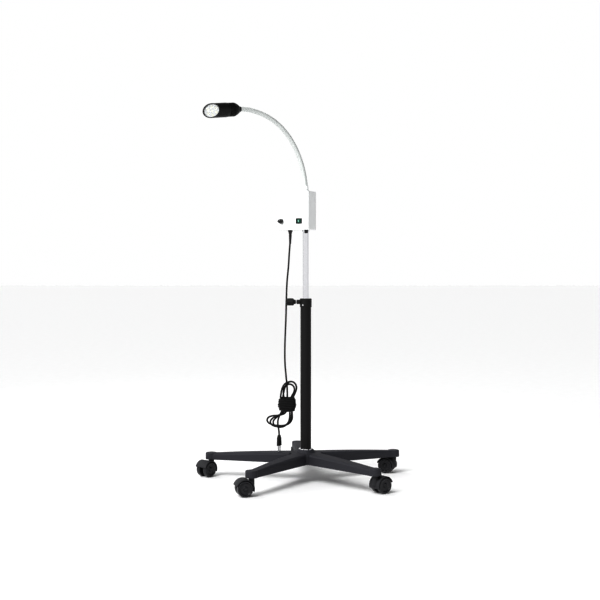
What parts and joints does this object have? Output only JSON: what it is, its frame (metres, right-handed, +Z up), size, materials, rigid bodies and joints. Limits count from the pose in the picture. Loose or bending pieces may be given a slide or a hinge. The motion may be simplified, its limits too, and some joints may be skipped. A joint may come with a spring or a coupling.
{
  "type": "examination lamp",
  "caption": "Mobile medical examination lamp: five-star caster base, black column with sliding chromed pole, white control box, gooseneck arm and black LED head.",
  "frame": {"origin": "on the floor, on the axis of the column, where the wheels stand", "axes": "+Z up along the column; -Y towards the user's side, with the control box turned 28 degrees and the arm reaching out over -X and -Y"},
  "size_m": [0.6856, 0.691, 1.2232],
  "materials": {
    "base_nylon": "fine moulded texture",
    "caster_nylon": "fine moulded texture",
    "wheel_tread": "smooth hard tread",
    "column_black": "semi-gloss black paint",
    "pole_chrome": "bright chrome plate",
    "bare_steel": "zinc-plated steel",
    "knob_black": "moulded, softly worn",
    "pad_brass": "turned",
    "bush_acetal": "natural acetal",
    "box_white": "fine powder coat",
    "switch_green": "tinted gloss",
    "control_black": "moulded gloss",
    "board_green": "solder mask",
    "cord_black": "matt sheath",
    "arm_silver": "satin silver grey",
    "head_black": "satin black",
    "lens_clear": "clear polished",
    "reflector_silver": "vacuum-plated",
    "led_yellow": "phosphor dome"
  },
  "bodies": {
    "base": {"base_star": "base_nylon", "caster_stems": "bare_steel", "column_tube": "column_black", "column_flange": "pole_chrome", "column_foot_plug": "bare_steel", "column_foot_bolt": "bare_steel", "column_collar": "column_black", "collar_lock_screw": "bare_steel"},
    "clamp_pad": {"clamp_pad": "pad_brass"},
    "clamp_knob": {"clamp_knob": "knob_black", "clamp_screw": "bare_steel"},
    "sleeve": {"guide_bush": "bush_acetal", "cord_hank": "cord_black", "cord_tail": "cord_black", "plug_body": "cord_black", "plug_pins": "bare_steel"},
    "pole": {"pole_tube": "pole_chrome", "pole_nut": "bare_steel", "box_rear": "box_white", "box_front": "box_white", "box_screws": "bare_steel", "driver_board": "board_green", "rocker_housing": "control_black", "dimmer_pot": "control_black", "fuse_holder": "control_black", "cord_gland": "control_black", "cord_drop": "cord_black", "arm_ferrule": "box_white"},
    "rocker": {"rocker": "switch_green"},
    "dimmer_knob": {"dimmer_knob": "control_black"},
    "link_1": {"gooseneck_link_1": "arm_silver"},
    "link_2": {"gooseneck_link_2": "arm_silver"},
    "link_3": {"gooseneck_link_3": "arm_silver"},
    "link_4": {"gooseneck_link_4": "arm_silver"},
    "link_5": {"gooseneck_link_5": "arm_silver"},
    "link_6": {"gooseneck_link_6": "arm_silver"},
    "link_7": {"gooseneck_link_7": "arm_silver"},
    "link_8": {"gooseneck_link_8": "arm_silver"},
    "head": {"head_cap": "head_black", "heat_sink": "head_black", "head_barrel": "head_black", "head_bezel": "head_black", "head_lens": "lens_clear", "reflector": "reflector_silver", "led_board": "led_yellow"},
    "caster_1": {"caster_hood_1": "caster_nylon", "caster_axle_1": "bare_steel"},
    "wheels_1": {"caster_wheels_1": "wheel_tread"},
    "caster_2": {"caster_hood_2": "caster_nylon", "caster_axle_2": "bare_steel"},
    "wheels_2": {"caster_wheels_2": "wheel_tread"},
    "caster_3": {"caster_hood_3": "caster_nylon", "caster_axle_3": "bare_steel"},
    "wheels_3": {"caster_wheels_3": "wheel_tread"},
    "caster_4": {"caster_hood_4": "caster_nylon", "caster_axle_4": "bare_steel"},
    "wheels_4": {"caster_wheels_4": "wheel_tread"},
    "caster_5": {"caster_hood_5": "caster_nylon", "caster_axle_5": "bare_steel"},
    "wheels_5": {"caster_wheels_5": "wheel_tread"}
  },
  "joints": [
    {"name": "clamp_travel", "type": "slide", "parent": "base", "child": "clamp_pad", "axis": [-1, 0, 0], "range_m": [0, 0.0019]},
    {"name": "clamp_turn", "type": "hinge", "parent": "clamp_pad", "child": "clamp_knob", "pos_m": [0, 0, 0.585], "axis": [-1, 0, 0], "range_deg": [0, 540]},
    {"name": "pole_swivel", "type": "hinge", "parent": "base", "child": "sleeve", "pos_m": [0, 0, 0.592], "axis": [0, 0, 1], "range_deg": [-170, 170]},
    {"name": "pole_slide", "type": "slide", "parent": "sleeve", "child": "pole", "axis": [0, 0, 1], "range_m": [-0.2, 0.13], "deforming": ["cord_drop"]},
    {"name": "rocker_press", "type": "hinge", "parent": "pole", "child": "rocker", "pos_m": [-0.02033, -0.01694, 0.851], "axis": [0, 0, 1], "range_deg": [-18, 0]},
    {"name": "dimmer_turn", "type": "hinge", "parent": "pole", "child": "dimmer_knob", "pos_m": [-0.08072, 0.01007, 0.851], "axis": [-0.4695, -0.8829, 0], "range_deg": [-135, 135]},
    {"name": "arm_bend_1", "type": "hinge", "parent": "pole", "child": "link_1", "pos_m": [0, 0, 0.965], "axis": [0.5, -0.866, 0], "range_deg": [-9, 11]},
    {"name": "arm_bend_2", "type": "hinge", "parent": "link_1", "child": "link_2", "pos_m": [-0.0061, -0.00352, 1.00945], "axis": [0.5, -0.866, 0], "range_deg": [-9, 11]},
    {"name": "arm_bend_3", "type": "hinge", "parent": "link_2", "child": "link_3", "pos_m": [-0.01782, -0.01029, 1.05236], "axis": [0.5, -0.866, 0], "range_deg": [-9, 11]},
    {"name": "arm_bend_4", "type": "hinge", "parent": "link_3", "child": "link_4", "pos_m": [-0.0349, -0.02015, 1.09281], "axis": [0.5, -0.866, 0], "range_deg": [-9, 11]},
    {"name": "arm_bend_5", "type": "hinge", "parent": "link_4", "child": "link_5", "pos_m": [-0.05725, -0.03305, 1.12967], "axis": [0.5, -0.866, 0], "range_deg": [-11, 11]},
    {"name": "arm_bend_6", "type": "hinge", "parent": "link_5", "child": "link_6", "pos_m": [-0.08529, -0.04924, 1.16093], "axis": [0.5, -0.866, 0], "range_deg": [-11, 11]},
    {"name": "arm_bend_7", "type": "hinge", "parent": "link_6", "child": "link_7", "pos_m": [-0.11851, -0.06842, 1.18444], "axis": [0.5, -0.866, 0], "range_deg": [-11, 11]},
    {"name": "arm_bend_8", "type": "hinge", "parent": "link_7", "child": "link_8", "pos_m": [-0.15536, -0.0897, 1.19909], "axis": [0.5, -0.866, 0], "range_deg": [-11, 11]},
    {"name": "head_bend", "type": "hinge", "parent": "link_8", "child": "head", "pos_m": [-0.19385, -0.11192, 1.20613], "axis": [0.5, -0.866, 0], "range_deg": [-11, 11]},
    {"name": "caster_swivel_1", "type": "hinge", "parent": "base", "child": "caster_1", "pos_m": [0.29916, 0.12699, 0], "axis": [0, 0, 1], "continuous": true},
    {"name": "wheel_roll_1", "type": "hinge", "parent": "caster_1", "child": "wheels_1", "pos_m": [0.27707, 0.13636, 0.025], "axis": [0.3907, 0.9205, 0], "continuous": true},
    {"name": "caster_swivel_2", "type": "hinge", "parent": "base", "child": "caster_2", "pos_m": [-0.02833, 0.32376, 0], "axis": [0, 0, 1], "continuous": true},
    {"name": "wheel_roll_2", "type": "hinge", "parent": "caster_2", "child": "wheels_2", "pos_m": [-0.02833, 0.34776, 0.025], "axis": [1, 0, 0], "continuous": true},
    {"name": "caster_swivel_3", "type": "hinge", "parent": "base", "child": "caster_3", "pos_m": [-0.31667, 0.07311, 0], "axis": [0, 0, 1], "continuous": true},
    {"name": "wheel_roll_3", "type": "hinge", "parent": "caster_3", "child": "wheels_3", "pos_m": [-0.3321, 0.05472, 0.025], "axis": [-0.766, 0.6428, 0], "continuous": true},
    {"name": "caster_swivel_4", "type": "hinge", "parent": "base", "child": "caster_4", "pos_m": [-0.16739, -0.27858, 0], "axis": [0, 0, 1], "continuous": true},
    {"name": "wheel_roll_4", "type": "hinge", "parent": "caster_4", "child": "wheels_4", "pos_m": [-0.19034, -0.2856, 0.025], "axis": [-0.2924, 0.9563, 0], "continuous": true},
    {"name": "caster_swivel_5", "type": "hinge", "parent": "base", "child": "caster_5", "pos_m": [0.21322, -0.24528, 0], "axis": [0, 0, 1], "continuous": true},
    {"name": "wheel_roll_5", "type": "hinge", "parent": "caster_5", "child": "wheels_5", "pos_m": [0.23239, -0.23084, 0.025], "axis": [0.6018, -0.7986, 0], "continuous": true}
  ],
  "couplings": [
    {"joint": "clamp_travel", "follows": "clamp_turn", "m_per_rad": 0.00019894},
    {"joint": "arm_bend_2", "follows": "arm_bend_1", "ratio": 1},
    {"joint": "arm_bend_3", "follows": "arm_bend_1", "ratio": 1},
    {"joint": "arm_bend_4", "follows": "arm_bend_1", "ratio": 1},
    {"joint": "arm_bend_6", "follows": "arm_bend_5", "ratio": 1},
    {"joint": "arm_bend_7", "follows": "arm_bend_5", "ratio": 1},
    {"joint": "arm_bend_8", "follows": "arm_bend_5", "ratio": 1},
    {"joint": "head_bend", "follows": "arm_bend_5", "ratio": 1}
  ]
}
